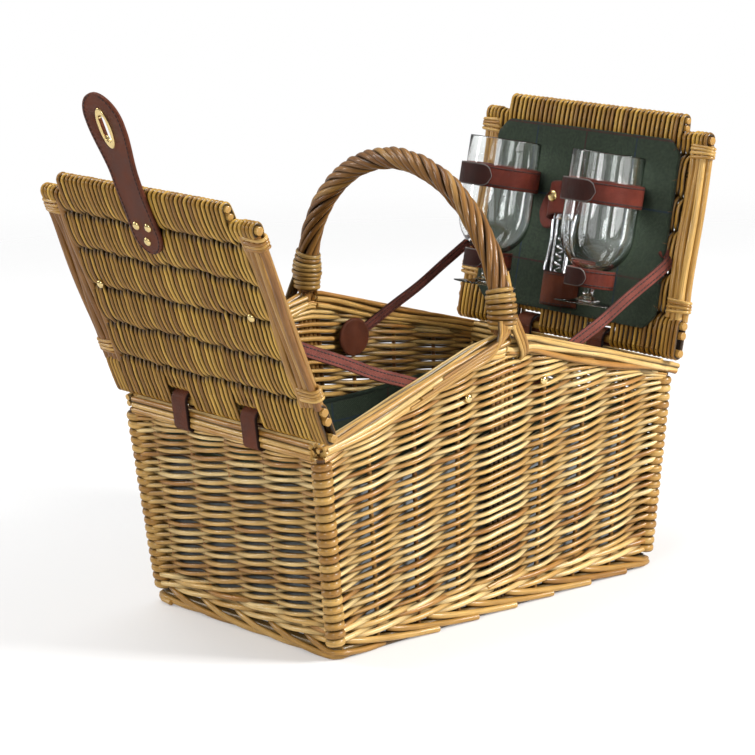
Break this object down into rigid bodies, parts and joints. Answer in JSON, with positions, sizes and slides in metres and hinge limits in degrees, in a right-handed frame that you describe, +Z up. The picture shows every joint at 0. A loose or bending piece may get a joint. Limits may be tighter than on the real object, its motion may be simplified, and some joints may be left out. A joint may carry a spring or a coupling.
{
  "type": "wicker picnic basket",
  "caption": "Woven willow picnic basket with gabled sides, a roped hoop handle, two end-hinged lids on leather stays, a liner, wine glasses and a corkscrew.",
  "frame": {"origin": "centre of the foot border's underside, on the floor straight under the middle of the handle", "axes": "+X along the basket's length towards the lid that holds the glasses, +Y across the width towards the back, +Z up"},
  "size_m": [0.5872, 0.292, 0.4827],
  "materials": {
    "willow": "satin golden-brown peeled willow rods",
    "willow_pale": "satin pale willow rods and bindings",
    "leather": "smooth reddish-brown leather with cut edges",
    "tweed": "dark green wool tweed with faint blue and red lines",
    "brass": "polished brass",
    "glass": "clear glass",
    "steel": "chromed steel"
  },
  "bodies": {
    "basket": {"foot_border": "willow", "base_weave": "willow", "wall_front_left": "willow", "wall_front_right": "willow", "wall_back_left": "willow", "wall_back_right": "willow", "wall_left_end": "willow", "wall_right_end": "willow", "corner_posts": "willow", "rim_front": "willow_pale", "rim_back": "willow_pale", "rim_left_end": "willow_pale", "rim_right_end": "willow_pale", "handle_bow": "willow", "handle_rope": "willow", "handle_stakes": "willow", "handle_bindings": "willow_pale", "handle_spurs": "willow_pale", "liner": "tweed", "stay_patches": "leather", "stay_wall_rivets": "brass", "left_hinge_loops": "leather", "right_hinge_loops": "leather"},
    "left_lid": {"left_lid_weave": "willow", "left_lid_cross_rods": "willow_pale", "left_lid_side_rods": "willow", "left_lid_bindings": "willow_pale", "left_lid_board": "tweed", "left_stay_front": "leather", "left_stay_back": "leather", "left_stay_rivets": "brass", "closure_strap": "leather", "closure_rivets": "brass"},
    "flap": {"closure_flap": "leather", "closure_slot_plate": "brass"},
    "right_lid": {"right_lid_weave": "willow", "right_lid_cross_rods": "willow_pale", "right_lid_side_rods": "willow", "right_lid_bindings": "willow_pale", "right_lid_board": "tweed", "right_stay_front": "leather", "right_stay_back": "leather", "right_stay_rivets": "brass", "turnlock_base": "brass", "bowl_strap_front": "leather", "bowl_strap_back": "leather", "stem_strap_front": "leather", "stem_strap_back": "leather", "corkscrew_pocket": "leather"},
    "lock_bar": {"turnlock_bar": "brass"},
    "glass_one": {"glass_front": "glass"},
    "glass_two": {"glass_back": "glass"},
    "corkscrew": {"corkscrew_frame": "steel", "corkscrew_worm": "steel", "corkscrew_levers": "steel"},
    "cork_tab": {"corkscrew_tab": "leather", "corkscrew_stud": "brass"}
  },
  "joints": [
    {"name": "left_lid_hinge", "type": "hinge", "parent": "basket", "child": "left_lid", "pos_m": [-0.20622, 0, 0.2005], "axis": [0, 1, 0], "range_deg": [0, 94], "deforming": ["left_stay_front", "left_stay_back"]},
    {"name": "right_lid_hinge", "type": "hinge", "parent": "basket", "child": "right_lid", "pos_m": [0.20622, 0, 0.2005], "axis": [0, -1, 0], "range_deg": [0, 86], "deforming": ["right_stay_front", "right_stay_back"]},
    {"name": "flap_bend", "type": "hinge", "parent": "left_lid", "child": "flap", "pos_m": [-0.29111, 0, 0.40129], "axis": [0, 1, 0], "range_deg": [0, 31.5], "stiffness_Nm_per_rad": 0.2},
    {"name": "turnlock_turn", "type": "hinge", "parent": "right_lid", "child": "lock_bar", "pos_m": [0.25044, 0, 0.35648], "axis": [0.9744, 0, -0.225], "range_deg": [0, 90]},
    {"name": "glass_one_lift", "type": "slide", "parent": "right_lid", "child": "glass_one", "axis": [-0.9744, 0, 0.225], "range_m": [0, 0.074], "deforming": ["bowl_strap_front", "stem_strap_front"]},
    {"name": "glass_two_lift", "type": "slide", "parent": "right_lid", "child": "glass_two", "axis": [-0.9744, 0, 0.225], "range_m": [0, 0.074], "deforming": ["bowl_strap_back", "stem_strap_back"]},
    {"name": "corkscrew_draw", "type": "slide", "parent": "right_lid", "child": "corkscrew", "axis": [0.225, 0, 0.9744], "range_m": [0, 0.06]},
    {"name": "cork_tab_open", "type": "hinge", "parent": "right_lid", "child": "cork_tab", "pos_m": [0.22259, 0.0176, 0.32296], "axis": [0.225, 0, 0.9744], "range_deg": [-25, 0]}
  ]
}
